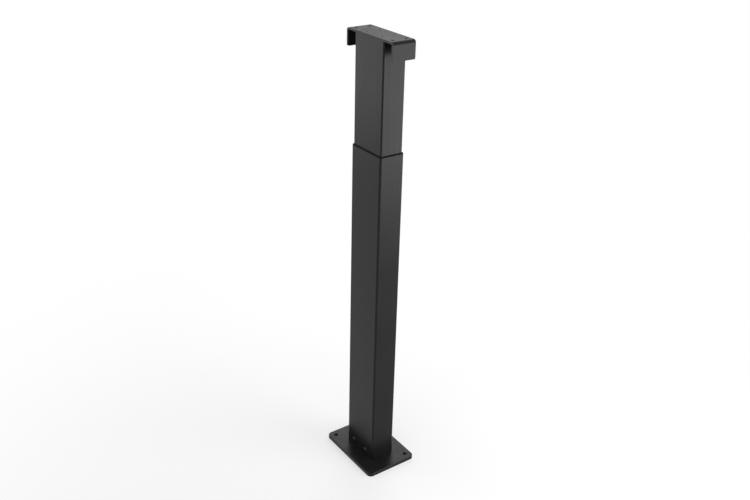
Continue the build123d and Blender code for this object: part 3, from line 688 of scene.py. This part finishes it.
# Push tube and nut. The nut is white acetal, pinned in the head of a drawn aluminium tube
# that stands on the foot block, with a rubber ring on it as the lower stop.
def drawn_metal(finish_name, dark, light):
    """Drawn tube, with fine die lines along it."""
    line_stretch, line_depth = (1300.0, 1300.0, 4.0), 0.000012
    finish, tree, shader, place = new_finish(finish_name)
    lines = clouds(tree, stretched(tree, place, line_stretch), 1.0, 3.0, 0.6)
    colour_and_gloss(tree, shader, lines, dark, light, 0.3, 0.42)
    shader.inputs["Metallic"].default_value = 1.0
    relief(tree, shader, lines, line_depth)
    return finish


dress(drawn_metal("drawn_aluminium", (0.58, 0.59, 0.6), (0.7, 0.71, 0.72)), "push_tube")
dress(moulded_plastic("white_acetal", (0.68, 0.67, 0.63), (0.78, 0.77, 0.73), 0.38), "spindle_nut")
dress(moulded_plastic("bumper_rubber", (0.012, 0.012, 0.012), (0.022, 0.022, 0.022), 0.8), "nut_bumper")


# Floor, a plain pale sheet that reads as the white ground behind the column and keeps
# its soft shadow. It turns plain white further out.
def white_rays(tree):
    """One for each ray that sees plain white: the camera's, mirrored or through glass."""
    ray = tree.nodes.new("ShaderNodeLightPath").outputs
    mirrored = reckoned(tree, "MAXIMUM", ray["Is Glossy Ray"], ray["Is Transmission Ray"])
    return reckoned(tree, "MAXIMUM", ray["Is Camera Ray"], mirrored)


def mix_in_white(tree, share, plain, white, output):
    """Plain white mixed over a surface, or over the world, by a share."""
    mix = tree.nodes.new("ShaderNodeMixShader")
    tree.links.new(share, mix.inputs[0])
    tree.links.new(plain, mix.inputs[1])
    tree.links.new(white, mix.inputs[2])
    tree.links.new(mix.outputs["Shader"], output.inputs["Surface"])


bpy.ops.object.select_all(action="DESELECT")
floor_size, shadow_radius, white_radius, white_near = 40.0, 0.35, 1.25, 0.45
bpy.ops.mesh.primitive_plane_add(size=floor_size, location=(0, 0, 0))
floor = bpy.context.object
floor.name = "floor"
pale_paper, tree, shader, place = new_finish("pale_paper")
shader.inputs["Base Color"].default_value = (0.9, 0.9, 0.9, 1)
shader.inputs["Roughness"].default_value = 0.9
shader.inputs["Specular IOR Level"].default_value = 0.1
glow = tree.nodes.new("ShaderNodeEmission")
glow.inputs["Color"].default_value = (1, 1, 1, 1)
away = tree.nodes.new("ShaderNodeVectorMath")
away.operation = "LENGTH"
tree.links.new(place, away.inputs[0])
fade = between(tree, away.outputs["Value"], white_near, 1.0, shadow_radius, white_radius)
fade.node.interpolation_type = "SMOOTHSTEP"
share = reckoned(tree, "MULTIPLY", white_rays(tree), fade)
mix_in_white(tree, share, shader.outputs["BSDF"], glow.outputs["Emission"], tree.nodes["Material Output"])
floor.data.materials.append(pale_paper)


# Light: a white world behind everything that shines softly on the column, low soft boxes
# whose reflections lighten its faces, and a large one above it.
world = bpy.data.worlds.new("white_room")
bpy.context.scene.world = world
world.use_nodes = True
room = world.node_tree
dim = room.nodes["Background"]
dim.inputs["Color"].default_value = (1, 1, 1, 1)
dim.inputs["Strength"].default_value = 0.5
white = room.nodes.new("ShaderNodeBackground")
white.inputs["Color"].default_value = (1, 1, 1, 1)
white.inputs["Strength"].default_value = 1.0
mix_in_white(
    room, white_rays(room), dim.outputs["Background"], white.outputs["Background"], room.nodes["World Output"]
)
column_middle = Vector((0, 0, 0.5))
for lamp_name, spot, width, height, power in (
    ("left_box", (-0.80, 1.05, 0.66), 1.0, 0.7, 2.8),
    ("right_box", (0.72, -1.0, 0.51), 0.9, 0.84, 11.0),
    ("back_box", (1.0, 1.1, 0.55), 1.0, 0.9, 12.0),
    ("top_box", (-0.3, -0.3, 2.6), 1.6, 1.6, 15.0),
):
    bpy.ops.object.light_add(type="AREA", location=spot)
    lamp = bpy.context.object
    lamp.name = lamp_name
    lamp.rotation_euler = (Vector(spot) - column_middle).to_track_quat("Z", "Y").to_euler()
    lamp.data.shape = "RECTANGLE"
    lamp.data.size = width
    lamp.data.size_y = height
    lamp.data.energy = power
    lamp.visible_camera = False


# Camera, turned and tilted as in the photograph and with its lens, and far enough off
# for the whole column.
right = Vector((0.8164, -0.5770, 0.0235))
up = Vector((0.2396, 0.3755, 0.8953))
back = Vector((-0.5254, -0.7253, 0.4449))
aim = Vector((0, 0, 0.497))
camera_distance = 1.8
eye = aim + back * camera_distance
bpy.ops.object.camera_add(location=eye)
camera = bpy.context.object
camera.name = "camera"
camera.matrix_world = Matrix.Translation(eye) @ Matrix((right, up, back)).transposed().to_4x4()
camera.data.lens = 42.9
camera.data.sensor_width = 36.0
bpy.context.scene.camera = camera
bpy.context.scene.view_settings.view_transform = "Standard"
